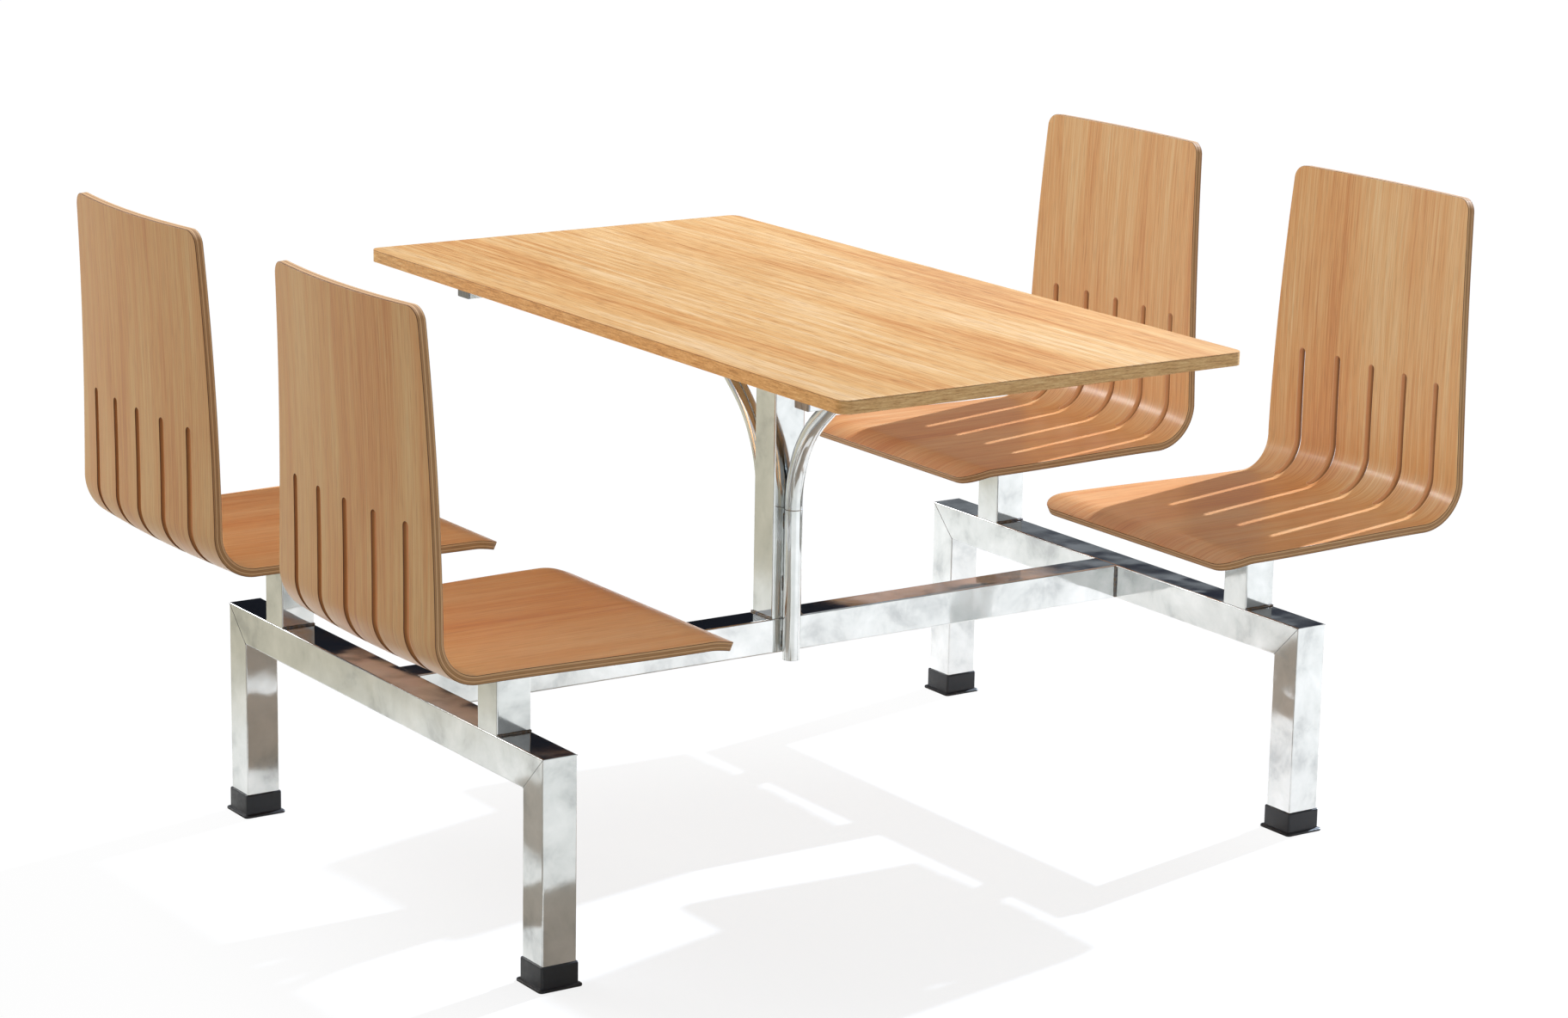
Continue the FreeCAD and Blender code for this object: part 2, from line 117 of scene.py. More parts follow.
def start_material(name, metallic, roughness):
    """A new material with its shader; the object coordinates come with it."""
    material = bpy.data.materials.new(name)
    add = emptied(material)
    shader = add("BsdfPrincipled", {"Metallic": metallic, "Roughness": roughness})
    add("OutputMaterial", {"Surface": shader})
    return material, add, shader, add("TexCoord").outputs["Object"]


def patterned(name, metallic, roughness, kind, pattern, stops, stretch=None, gloss=None, relief=None,
              **settings):
    """A material whose colour follows one pattern. So does its roughness, where gloss gives (from,
    from, to, to), and its height, where relief gives (strength, distance)."""
    material, add, shader, place = start_material(name, metallic, roughness)
    if stretch:
        place = add("VectorMath", (place, stretch), operation="MULTIPLY")
    texture = add(kind, {"Vector": place, **pattern}, **settings)
    value = texture.outputs.get("Fac", texture.outputs[0])
    feed(shader, {"Base Color": add("ValToRGB", (value,), stops)})
    if gloss:
        feed(shader, {"Roughness": add("MapRange", (value, *gloss))})
    if relief:
        feed(shader, {"Normal": add("Bump", {"Strength": relief[0], "Distance": relief[1], "Height": value})})
    return material


def dress(material, *starts):
    """Give the material to every CAD node whose name starts with one of the words."""
    for name, piece in nodes.items():
        if name.startswith(starts):
            for slot in piece.material_slots:
                slot.material = material


def polished_stainless():
    # stainless steel, buffed to a mirror: clear reflections, soft clouds, slightly wavy flats
    material, add, shader, place = start_material("stainless_mirror_buffed", 1.0, 0.08)
    clouds = add("TexNoise", {
        "Vector": place, "Scale": 16.0, "Detail": 4.0, "Roughness": 0.6, "Distortion": 0.3})
    tone = add("ValToRGB", (clouds,), ((0.30, "B6B8B8"), (0.46, "D0D2D1"), (0.72, "E2E3E3")))
    # painted reflection: the tubes' rounded corners are painted dark grey, standing in for the dark lines
    # that they mirror
    rounded = add("Bevel", {"Radius": 0.0016}, samples=4)
    flat = add("NewGeometry").outputs["True Normal"]
    level = add("VectorMath", (rounded, flat), operation="DOT_PRODUCT")
    corner = add("MapRange", (level, 0.90, 0.995, 0.75, 0.0))
    tone = add("Mix", (corner, tone, linear("4E4F52")), data_type="RGBA")
    haze = add("MapRange", (clouds, 0.35, 0.7, 0.12, 0.04))
    waves = add("TexNoise", {"Vector": place, "Scale": 13.0, "Detail": 1.5, "Roughness": 0.4})
    bump = add("Bump", {"Strength": 1.0, "Distance": 0.0011, "Height": waves})
    feed(shader, {"Base Color": tone, "Roughness": haze, "Normal": bump})
    return material


steel = polished_stainless()
dress(steel, "beam", "leg", "stretcher", "column", "brace", "cross_rail", "long_rail", "seat_post",
      "bearing_housing")
# stainless plate, ground flush after welding and not buffed: grey, with a dull blurred shine
dress(patterned("stainless_ground_flush", 1.0, 0.45, "TexNoise", {"Scale": 1.0}, (
    (0.30, "6E7076"), (0.70, "A6A9AD")), stretch=(900.0, 900.0, 40.0)), "rail_end_plates")

# ---------------- weld beads and seams
# TIG fillet welds where one tube stands on or butts against another: overlapping ripples of
# melted stainless, left as laid. At the mitres and end plates the seams are ground almost flush.


def start_tree(name, sizes):
    """Start a geometry tree. Its inputs are the named sizes, an object for None, and a material."""
    tree = bpy.data.node_groups.new(name, "GeometryNodeTree")
    tree.interface.new_socket("Geometry", in_out="INPUT", socket_type="NodeSocketGeometry")
    kinds = {int: "NodeSocketInt", float: "NodeSocketFloat", type(None): "NodeSocketObject"}
    for label, value in sizes.items():
        socket = tree.interface.new_socket(label, in_out="INPUT", socket_type=kinds[type(value)])
        if value is not None:
            socket.default_value = value
    tree.interface.new_socket("Material", in_out="INPUT", socket_type="NodeSocketMaterial")
    tree.interface.new_socket("Geometry", in_out="OUTPUT", socket_type="NodeSocketGeometry")
    add = functools.partial(add_node, tree)
    return add, add("NodeGroupInput").outputs


def end_tree(add, geometry, material):
    """End a tree and return it: smooth shading, real geometry and its material."""
    smooth = add("GeometryNodeSetShadeSmooth", (geometry,))
    real = add("GeometryNodeRealizeInstances", (smooth,))
    dressed = add("GeometryNodeSetMaterial", {"Geometry": real, "Material": material})
    return add("NodeGroupOutput", {"Geometry": dressed}).id_data


def placed(name, data):
    """A new object in the scene."""
    thing = bpy.data.objects.new(name, data)
    bpy.context.scene.collection.objects.link(thing)
    return thing


def grown(name, mesh, tree, inputs):
    """Run a node tree on a mesh and return the plain mesh that it makes."""
    carrier = placed(name, mesh)
    modifier = carrier.modifiers.new(name, "NODES")
    modifier.node_group = tree
    for item in tree.interface.items_tree:
        if item.in_out == "INPUT" and item.name in inputs:
            modifier[item.identifier] = inputs[item.name]
    carrier.update_tag()
    bpy.context.view_layer.update()
    seen = carrier.evaluated_get(bpy.context.evaluated_depsgraph_get())
    result = bpy.data.meshes.new_from_object(seen)
    bpy.data.objects.remove(carrier)
    return result


def stand(name, mesh, body, slot, *replaced):
    """Put a finished mesh in the scene as a piece of a body."""
    mesh.name = name
    piece = placed(name, mesh)
    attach(piece, body)
    if replaced:
        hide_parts(*replaced)


def lines_mesh(name, lines):
    """A mesh of loose edges through the points of each line."""
    points = []
    edges = []
    for line in lines:
        edges += [(len(points) + k, len(points) + k + 1) for k in range(len(line) - 1)]
        points += line
    mesh = bpy.data.meshes.new(name)
    mesh.from_pydata(points, edges, [])
    return mesh


def lay(name, lines, tree, inputs):
    """Run a tree along lines and leave what it makes on the frame."""
    stand(name, grown(name, lines_mesh(name, lines), tree, inputs), "frame_and_table", "polished_steel")


def weld_tree():
    """Ripples along each line: a flattened ball at every step, turned along the line."""
    add, given = start_tree("weld_bead", {
        "Ripple pitch": 0.0017, "Bead width": 0.0038, "Ripple length": 0.62, "Unevenness": 0.16, "Seed": 5})
    line = add("GeometryNodeMeshToCurve", {"Mesh": given["Geometry"]})
    stepped = add("GeometryNodeResampleCurve", {
        "Curve": line, "Length": given["Ripple pitch"]}, mode="LENGTH")
    tangent = add("GeometryNodeInputTangent")
    turned = add("FunctionNodeAlignRotationToVector", {"Vector": tangent}, axis="Z")
    ball = add("GeometryNodeMeshIcoSphere", {"Radius": 0.5, "Subdivisions": 2})
    width = given["Bead width"]
    length = add("Math", (width, given["Ripple length"]), operation="MULTIPLY")
    size = add("CombineXYZ", (width, width, length))
    low = add("Math", (1.0, given["Unevenness"]), operation="SUBTRACT")
    high = add("Math", (1.0, given["Unevenness"]), operation="ADD")
    chance = add("FunctionNodeRandomValue", (low, high), data_type="FLOAT")
    feed(chance, {"Seed": given["Seed"]})
    scaled = add("VectorMath", (size, chance), operation="SCALE")
    ripples = add("GeometryNodeInstanceOnPoints", {
        "Points": stepped, "Instance": ball, "Rotation": turned, "Scale": scaled})
    return end_tree(add, ripples, given["Material"])


def seam_tree():
    """A thin ground seam: a low round ridge that follows each line."""
    add, given = start_tree("ground_seam", {"Seam width": 0.0009})
    line = add("GeometryNodeMeshToCurve", {"Mesh": given["Geometry"]})
    half = add("Math", (given["Seam width"], 0.5), operation="MULTIPLY")
    section = add("GeometryNodeCurvePrimitiveCircle", {"Resolution": 8, "Radius": half})
    ridge = add("GeometryNodeCurveToMesh", {"Curve": line, "Profile Curve": section, "Fill Caps": True})
    return end_tree(add, ridge, given["Material"])


# melted stainless filler, brushed once: greyer than the tube, straw and blue heat tints, satin
weld = patterned("stainless_weld_metal", 1.0, 0.28, "TexNoise", {"Scale": 160.0, "Detail": 3.0}, (
    (0.30, "5F6470"), (0.48, "8E8C88"), (0.62, "7F705C"), (0.78, "A5A5A3")), gloss=(0.0, 1.0, 0.30, 0.55))
tube_half = 0.025
beam_low, beam_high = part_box("beam_right")
beam_top = beam_high[2]
beam_foot = beam_top - 2 * tube_half
rail_low, rail_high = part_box("long_rail")
rail_half = (rail_high[0] - rail_low[0]) / 2
swivels = frame["joints"]
corner = 0.0008                      # how far a bead's middle stands off the corner that it fills
bead_face = tube_half + corner
short = 0.002                        # how far an upright bead stops short of the tube's edges
post_bead_half = tube_half - 0.001   # half a bead across a post
stitch_x, stitch_y = 0.0062, tube_half + 0.0012
# the stitches of a brace: (foot, length)
stitches = ((beam_foot + 0.008, 0.022), (beam_top + 0.040, 0.020), (beam_top + 0.130, 0.020))
fillets = []


def upright(x, y, low, high):
    """Lay a bead that runs up."""
    fillets.append([(x, y, low), (x, y, high)])


for side in (-1, 1):
    # the column on the stretcher, and the stretcher against the beams
    fillets.append([(side * bead_face, y, beam_top + corner) for y in (-tube_half, tube_half)])
    for edge in (-1, 1):
        upright(side * (beam_low[0] - corner), edge * bead_face, beam_foot + short, beam_top - short)
    # the long rail on the column, and the cross rails against the long rail
    fillets.append([(x, side * bead_face, rail_low[2] - corner) for x in (-rail_half, rail_half)])
    for edge in (-1, 1):
        upright(edge * (rail_half + corner), side * (rail_high[1] - corner),
                rail_low[2] + short, rail_high[2] - short)
    # the braces against the stretcher and the column
    for edge in (-1, 1):
        for foot, length in stitches:
            upright(edge * stitch_x, side * stitch_y, foot, foot + length)
# the posts on the beams
for swivel in swivels:
    x, y = swivel["pos_m"][:2]
    for side in (-1, 1):
        fillets.append([(x + end * post_bead_half, y + side * bead_face, beam_top + corner)
                        for end in (-1, 1)])
lay("visual_weld_beads", fillets, weld_tree(), {"Material": weld})

ridge = seam_tree()
seams = []
for side_x in (-1, 1):
    for side_y in (-1, 1):
        for x in (side_x * beam_low[0], side_x * beam_high[0]):
            seams.append([(x, side_y * beam_high[1], beam_top - 0.0006),
                          (x, side_y * (beam_high[1] - 2 * tube_half), beam_foot)])
lay("visual_mitre_seams", seams, ridge, {"Seam width": 0.0007, "Material": steel})

# the ring where each bent brace is butted on its straight foot and ground back
brace_radius = 0.0125
brace_axis = tube_half + brace_radius + 0.00005
ring_height = 0.465
ring_radius = brace_radius * 0.985
turns = [math.tau * k / 40 for k in range(41)]
rings = [[(ring_radius * math.cos(a), side * brace_axis + ring_radius * math.sin(a), ring_height)
          for a in turns] for side in (-1, 1)]
lay("visual_brace_rings", rings, ridge, {"Seam width": 0.0014, "Material": weld})

# ---------------- foot caps
# Injection-moulded black polypropylene sleeves pushed over the four tube ends, each with a thin
# spreading flange that stands on the floor.
PLACES = ("left_front", "left_rear", "right_front", "right_rear")


def rounded_outline(half_x, half_y, radius, inset, steps=6):
    """Points round a rectangle with round corners, moved in from its edge by the inset."""
    inner = max(radius - inset, 0.0002)
    points = []
    for corner, (sign_x, sign_y) in enumerate(((1, 1), (-1, 1), (-1, -1), (1, -1))):
        centre_x = sign_x * (half_x - inset - inner)
        centre_y = sign_y * (half_y - inset - inner)
        for k in range(steps + 1):
            a = math.pi / 2 * (corner + k / steps)
            points.append((centre_x + inner * math.cos(a), centre_y + inner * math.sin(a)))
    return points


def bridge(work, loops):
    """Join each closed line of corners to the next one with a band of faces."""
    count = len(loops[0])
    for near, far in zip(loops, loops[1:]):
        for k in range(count):
            m = (k + 1) % count
            work.faces.new((near[k], near[m], far[m], far[k]))


def finished(work, name):
    """The mesh of a worked body, with its faces turned outwards."""
    bmesh.ops.recalc_face_normals(work, faces=work.faces)
    mesh = bpy.data.meshes.new(name)
    work.to_mesh(mesh)
    work.free()
    return mesh


def loft(name, rings, material):
    """A closed body through rings of points, with a flat face over the first and the last."""
    work = bmesh.new()
    loops = [[work.verts.new(p) for p in ring] for ring in rings]
    bridge(work, loops)
    work.faces.new(loops[0][::-1])
    work.faces.new(loops[-1])
    mesh = finished(work, name)
    mesh.materials.append(material)
    mesh.shade_smooth()
    mesh.set_sharp_from_angle(angle=math.radians(40))
    return mesh


def black_polypropylene():
    # moulded black polypropylene: deep blue-black, satin, with a fine moulded grain and some scuffs
    material, add, shader, place = start_material("polypropylene_moulded_black", 0.0, 0.4)
    scuffs = add("TexNoise", {"Vector": place, "Scale": 120.0, "Detail": 5.0, "Roughness": 0.7})
    tone = add("ValToRGB", (scuffs,), ((0.35, "131418"), (0.62, "1A1C21"), (0.80, "2C2F37")))
    rough = add("MapRange", (scuffs, 0.3, 0.8, 0.32, 0.6))
    grain = add("TexNoise", {"Vector": place, "Scale": 1800.0, "Detail": 1.0})
    bump = add("Bump", {"Strength": 0.4, "Distance": 0.0001, "Height": grain})
    feed(shader, {"Base Color": tone, "Roughness": rough, "Normal": bump})
    return material


black_plastic = black_polypropylene()
cap_height = 0.0325
cap_wall = 0.0025
cap_floor = 0.004
cap_radius = 0.002
flange_reach = 0.007
flange_height = 0.004
cap_gap = 0.00005
# (how far out from the tube's face, height), from the middle of the foot up and over the rim
cap_section = [
    (flange_reach - 0.0012, 0.0), (flange_reach - 0.0003, 0.0003), (flange_reach, 0.0012),
    (flange_reach - 0.0002, flange_height - 0.0010), (flange_reach - 0.0012, flange_height - 0.0002),
    (cap_wall + 0.0014, flange_height + 0.0002), (cap_wall + 0.0004, flange_height + 0.0008),
    (cap_wall, flange_height + 0.0022), (cap_wall, cap_height - 0.0022),
    (cap_wall - 0.0003, cap_height - 0.0006), (cap_wall - 0.0010, cap_height), (0.0004, cap_height),
    (cap_gap, cap_height - 0.0004), (cap_gap, cap_floor)]
for place in PLACES:
    node = "foot_cap_" + place
    low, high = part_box(node)
    centre = (Vector(low) + Vector(high)) / 2
    rings = []
    for out, z in cap_section:
        outline = rounded_outline(tube_half + out, tube_half + out, cap_radius + out * 0.5, 0.0)
        rings.append([(centre.x + x, centre.y + y, z) for x, y in outline])
    stand("visual_" + node, loft(node, rings, black_plastic), "frame_and_table", "black_plastic", node)

# ---------------- tabletop
# Particle board with a real-wood veneer on its upper face, a plain veneer underneath and a thin
# wood band ironed round its edge. The grain runs along the table; the lacquer is satin.


def veneer_colours(add, along, across, shares, stops, pore_depth, seed):
    """Straight-grained veneer: broad bands, streaks, fibre lines and short dark pores."""
    flat = add("CombineXYZ", (along, across, seed))
    layers = []
    # each layer: how many waves per metre along and across the grain, detail, distortion
    for per_metre, detail, twist in (((1.1, 9.0, 1.0), 2.0, 0.6), ((2.2, 95.0, 1.0), 3.0, 0.2),
                                     ((7.0, 480.0, 1.0), 2.0, 0.0), ((30.0, 640.0, 1.0), 0.0, 0.0)):
        scaled = add("VectorMath", (flat, per_metre), operation="MULTIPLY")
        layers.append(add("TexNoise", {
            "Vector": scaled, "Scale": 1.0, "Detail": detail, "Roughness": 0.55, "Distortion": twist}))
    fibres, pores = layers[2:]
    # the tone takes its share of the bands, streaks and fibres, about the middle of the ramp
    mixed = (1 - sum(shares)) / 2
    for layer, share in zip(layers, shares):
        mixed = add("Math", (layer, share, mixed), operation="MULTIPLY_ADD")
    tone = add("ValToRGB", (mixed,), stops)
    depth = add("MapRange", (pores, 0.57, 0.72, 0.0, pore_depth))
    dark = add("Mix", (depth, tone, linear("9A6A44")), data_type="RGBA", blend_type="MULTIPLY")
    return dark, fibres


def satin_lacquer(add, fibres, low, high):
    """The roughness and the fine relief of lacquer that lies thin over the fibres."""
    rough = add("MapRange", (fibres, 0.3, 0.7, low, high))
    bump = add("Bump", {"Strength": 0.25, "Distance": 0.0001, "Height": fibres})
    return rough, bump


def tabletop_veneer():
    # crown-free hardwood veneer, 0.8 mm, satin lacquered: tan with reddish and paler bands
    material, add, shader, place = start_material("hardwood_veneer_satin_lacquer", 0.0, 0.42)
    axes = add("SeparateXYZ", (place,)).outputs
    colour, fibres = veneer_colours(add, axes["Y"], axes["X"], (0.70, 0.50, 0.50), (
        (0.30, "C68549"), (0.44, "D69E60"), (0.55, "DCAC70"), (0.70, "E5BE8D")), 0.34, 3.7)
    rough, bump = satin_lacquer(add, fibres, 0.36, 0.5)
    feed(shader, {"Base Color": colour, "Roughness": rough, "Normal": bump, "Coat Weight": 0.08,
                  "Coat Roughness": 0.3, "Specular IOR Level": 0.35})
    return material


def edge_banding():
    # hardwood edge band, cut thin and ironed on: short speckled fibres along the edge and a dark
    # line of glue just under the upper veneer
    material, add, shader, place = start_material("hardwood_edge_band_lacquered", 0.0, 0.45)
    speckle = []
    # how many waves per metre round the edge (x and y) and up it (z)
    for per_metre, detail in (((34.0, 34.0, 420.0), 3.0), ((190.0, 190.0, 1000.0), 1.0)):
        scaled = add("VectorMath", (place, per_metre), operation="MULTIPLY")
        speckle.append(add("TexNoise", {"Vector": scaled, "Scale": 1.0, "Detail": detail, "Roughness": 0.6}))
    mixed = add("Math", (speckle[1], 0.45, -0.22), operation="MULTIPLY_ADD")
    mixed = add("Math", (mixed, speckle[0]), operation="ADD")
    tone = add("ValToRGB", (mixed,), ((0.28, "B07F44"), (0.44, "CC9B5C"), (0.56, "D8AA6B"), (0.74, "E7C285")))
    height = add("SeparateXYZ", (place,)).outputs["Z"]
    # the glue line is about 0.1 mm; it is drawn 0.9 mm wide so that it shows
    glue = add("MapRange", (height, veneer_low[2] - 0.0009, veneer_low[2] - 0.0003, 0.0, 0.8))
    colour = add("Mix", (glue, tone, linear("6A4526")), data_type="RGBA")
    bump = add("Bump", {"Strength": 0.3, "Distance": 0.0001, "Height": speckle[1]})
    feed(shader, {"Base Color": colour, "Normal": bump})
    return material


veneer_low, veneer_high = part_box("tabletop_face_veneer")
table_veneer = tabletop_veneer()
dress(table_veneer, "tabletop_face_veneer", "tabletop_backing")
dress(edge_banding(), "tabletop_edge_band")
# pressed wood chips: matt, pale, flecked; it shows only inside the screw holes
dress(patterned("particle_board_raw", 0.0, 0.85, "TexVoronoi", {"Scale": 420.0}, (
    (0.1, "8E6B45"), (0.5, "BFA077"), (0.9, "D9BF98"))), "tabletop_core")
top_corner = 0.016
arris = 0.0006
# (inset, height): up the side of the veneer and over its sanded arris
veneer_section = [(0.0, veneer_low[2]), (0.0, veneer_high[2] - arris),
                  (arris * 0.3, veneer_high[2] - arris * 0.3), (arris, veneer_high[2])]
veneer_rings = [[(x, y, z) for x, y in rounded_outline(veneer_high[0], veneer_high[1], top_corner, inset, 10)]
                for inset, z in veneer_section]
stand("visual_tabletop_face_veneer", loft("veneer", veneer_rings, table_veneer), "frame_and_table",
      "wood_veneer", "tabletop_face_veneer")

# ---------------- screws
# Zinc-plated pan-head screws with a hexagon socket: eight wood screws hold the rails to the
# board, and four machine screws hold each seat to its plate. All are driven from below.


def screw_mesh(shank_radius, shank_length, head_radius, head_height, socket):
    """One screw pointing up, its head's upper face at the origin: a turned body with a socket."""
    count = 24

    def ring(z, radius=None):
        """A circle, or the socket's hexagon where no radius is given."""
        points = []
        for k in range(count):
            a = math.tau * k / count
            within = (a + math.pi / 6) % (math.pi / 3) - math.pi / 6
            reach = radius or socket / math.cos(within)
            points.append((reach * math.cos(a), reach * math.sin(a), z))
        return points

    rings = [ring(shank_length, shank_radius * 0.5), ring(shank_length - shank_radius * 0.6, shank_radius),
             ring(0.0, shank_radius)]
    # over the pan head: its shares of the head's radius and height
    rings += [ring(-head_height * down, head_radius * out)
              for out, down in ((0.97, 0.0), (1.0, 0.15), (0.97, 0.45), (0.83, 0.80), (0.58, 1.0))]
    return loft("screw", rings + [ring(-head_height), ring(-head_height * 0.35)], zinc)


def screw_tree():
    """A screw at every point, each turned to where its driver left it."""
    add, given = start_tree("driven_screws", {"Seed": 3, "Screw": None})
    screw = add("GeometryNodeObjectInfo", {"Object": given["Screw"]}).outputs["Geometry"]
    chance = add("FunctionNodeRandomValue", (0.0, math.tau), data_type="FLOAT")
    feed(chance, {"Seed": given["Seed"]})
    turned = add("CombineXYZ", {"Z": chance})
    driven = add("GeometryNodeInstanceOnPoints", {
        "Points": given["Geometry"], "Instance": screw, "Rotation": turned})
    return end_tree(add, driven, given["Material"])


def centres_of(node, height):
    """The middle of each separate solid of a node, seen from above, at a height."""
    work = bmesh.new()
    work.from_mesh(nodes[node].data)
    bmesh.ops.remove_doubles(work, verts=work.verts, dist=0.00001)
    left = set(work.verts)
    centres = []
    while left:
        stack = [left.pop()]
        xs, ys = [], []
        while stack:
            v = stack.pop()
            xs.append(v.co.x)
            ys.append(v.co.y)
            for e in v.link_edges:
                other = e.other_vert(v)
                if other in left:
                    left.remove(other)
                    stack.append(other)
        centres.append(((min(xs) + max(xs)) / 2, (min(ys) + max(ys)) / 2, height))
    work.free()
    return sorted(centres)


def drive_screws(node, body, sizes):
    """Put screws in place of a node's plain ones."""
    screw = bpy.data.objects.new("screw", screw_mesh(**sizes))
    centres = centres_of(node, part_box(node)[0][2] + sizes["head_height"])
    points = lines_mesh("screw_points", [[centre] for centre in centres])
    mesh = grown("screws", points, screws, {"Screw": screw, "Material": zinc})
    bpy.data.objects.remove(screw)
    stand("visual_" + node, mesh, body, "zinc_steel", node)


# bright zinc plating on steel: cool, faintly mottled, half gloss
zinc = patterned("zinc_plated_steel", 1.0, 0.32, "TexNoise", {"Scale": 500.0, "Detail": 2.0}, (
    (0.35, "A9AEB4"), (0.60, "C6C9CC"), (0.75, "D3CFC0")), gloss=(0.0, 1.0, 0.22, 0.42))
screws = screw_tree()
wood_screw = {"shank_radius": 0.0024, "shank_length": 0.0438, "head_radius": 0.005, "head_height": 0.003,
              "socket": 0.0016}
machine_screw = {"shank_radius": 0.003, "shank_length": 0.012, "head_radius": 0.0055, "head_height": 0.0035,
                 "socket": 0.002}
drive_screws("tabletop_screws", "frame_and_table", wood_screw)
for place in PLACES:
    drive_screws("seat_screws_" + place, "seat_" + place, machine_screw)

# ---------------- swivel units
# In each post head: a turned steel spindle with its stop collar in two acetal bushes, held by a
# phosphated ring, under a powder-coated plate that carries the seat on brass inserts.

# steel turned bright on a lathe: fine rings round the axis, half gloss
dress(patterned("steel_turned_bright", 1.0, 0.28, "TexWave", {
    "Scale": 520.0, "Distortion": 1.5, "Detail": 1.0}, ((0.2, "A4A6A8"), (0.8, "C4C6C8")),
    relief=(0.4, 0.00005), bands_direction="Z"), "swivel_spindle")
# spring steel blackened in a phosphate bath: dark grey, dull, slightly blotchy
dress(patterned("spring_steel_phosphated", 1.0, 0.5, "TexNoise", {"Scale": 700.0, "Detail": 3.0}, (
    (0.3, "26282A"), (0.7, "4A4C4E"))), "retaining_ring")
# black powder coat baked on a pressed plate: satin, with a fine orange peel
dress(patterned("powder_coat_black_satin", 0.0, 0.45, "TexNoise", {"Scale": 900.0, "Detail": 2.0}, (
    (0.3, "17181A"), (0.7, "222427")), relief=(0.5, 0.0001)), "seat_plate")
# natural acetal, turned: milky white, slightly waxy
dress(patterned("acetal_natural", 0.0, 0.35, "TexNoise", {"Scale": 200.0, "Detail": 2.0}, (
    (0.3, "D9D6CB"), (0.7, "E9E7E0"))), "swivel_bushes")
# cut brass: warm yellow, half gloss, faint turning marks
dress(patterned("brass_turned", 1.0, 0.3, "TexNoise", {"Scale": 900.0, "Detail": 2.0}, (
    (0.3, "B08A3E"), (0.7, "D2AE62"))), "seat_inserts")

# ---------------- seat shells
# Each seat is one sheet of 12 mm beech plywood: cross-laid veneers glued and pressed hot in one
# mould that rolls the front edge, bends the foot of the back and bows it. Five slots are milled
# through the bend, the edges are eased by about a millimetre, and the whole is satin lacquered.
shell_thickness = 0.012
pan_height = 0.447
front_reach = 0.223
lip_length = 0.050
lip_radius = 0.106
bend_reach = 0.1475
bend_radius = 0.053
foot_lean = math.radians(-0.4)
head_lean = math.radians(3.9)
back_height = 0.903
pan_front_width = 0.426
pan_rear_width = 0.396
back_foot_width = 0.409
back_head_width = 0.367
back_taper_power = 1.2
back_bow = 0.0125
front_corner = 0.034
back_corner = 0.020
slot_ys = [-0.144, -0.072, 0.0, 0.072, 0.144]
slot_radius = 0.006
slot_top = 0.6355
slot_foot_angle = math.radians(26.0)
slot_margin = 0.0035       # from a slot's wall to the cells beside it
sheet_ease = 0.001
slot_ease = 0.0006

lip_angle = math.asin(lip_length / lip_radius)
lip_ends = lip_radius * lip_angle
pan_run = bend_reach + front_reach - lip_length
pan_ends = lip_ends + pan_run
bend_angle = math.pi / 2 - foot_lean
bend_ends = pan_ends + bend_radius * bend_angle
back_foot_z = pan_height + bend_radius * (1 - math.sin(foot_lean))
back_rise = back_height - back_foot_z
sheet_ends = bend_ends + back_rise
slot_foot = pan_ends + bend_radius * slot_foot_angle
slot_head = bend_ends + slot_top - slot_radius - back_foot_z


def half_width(s):
    """Half the width of the sheet at s, measured along it from its front edge."""
    if s < lip_ends:
        return pan_front_width / 2
    if s < pan_ends:
        t = (s - lip_ends) / pan_run
        return (pan_front_width + (pan_rear_width - pan_front_width) * t * t * (3 - 2 * t)) / 2
    if s < bend_ends:
        t = (s - pan_ends) / (bend_ends - pan_ends)
        return (pan_rear_width + (back_foot_width - pan_rear_width) * t) / 2
    t = (s - bend_ends) / back_rise
    return (back_foot_width - (back_foot_width - back_head_width) * t ** back_taper_power) / 2


def edge_width(s):
    """The same with the rounded corners taken off."""
    half = half_width(s)
    if s < lip_ends:
        reach = lip_length - lip_radius * math.sin(lip_angle - s / lip_radius)
    else:
        reach = lip_length + s - lip_ends
    if reach < front_corner:
        half = half - front_corner + math.sqrt(max(front_corner ** 2 - (front_corner - reach) ** 2, 0))
    over = s - (sheet_ends - back_corner)
    if over > 0:
        corner_half = half_width(sheet_ends - back_corner)
        half = min(half, corner_half - back_corner + math.sqrt(max(back_corner ** 2 - over ** 2, 0)))
    return half


def between(low, high, step):
    """Places from low up to, not with, high, about one step apart."""
    count = max(1, round((high - low) / step))
    return [low + (high - low) * k / count for k in range(count)]


def sheet_rows():
    """Where the rows of the sheet lie, closer where it bends and round its corners and slots."""
    rows = []
    for k in range(9):
        reach = front_corner * (1 - math.cos(math.pi / 2 * k / 8))
        rows.append(lip_radius * (lip_angle - math.asin((lip_length - reach) / lip_radius)))
    ring = [slot_radius * 0.8 * k for k in (1, 2, 3)]
    feet = [slot_foot - r for r in reversed(ring)]
    heads = [slot_head] + [slot_head + r for r in ring]
    rows += between(rows[-1] + 0.006, lip_ends, 0.006) + between(lip_ends, pan_ends, 0.012)
    rows += between(pan_ends, feet[0], 0.0035) + feet + between(slot_foot, bend_ends, 0.0035)
    rows += between(bend_ends, slot_head, 0.010) + heads
    rows += between(heads[-1] + 0.012, sheet_ends - back_corner, 0.012)
    rows += [sheet_ends - back_corner + back_corner * math.sin(math.pi / 2 * k / 7) for k in range(8)]
    return rows, rows.index(feet[0]), rows.index(slot_foot), rows.index(slot_head), rows.index(heads[-1])


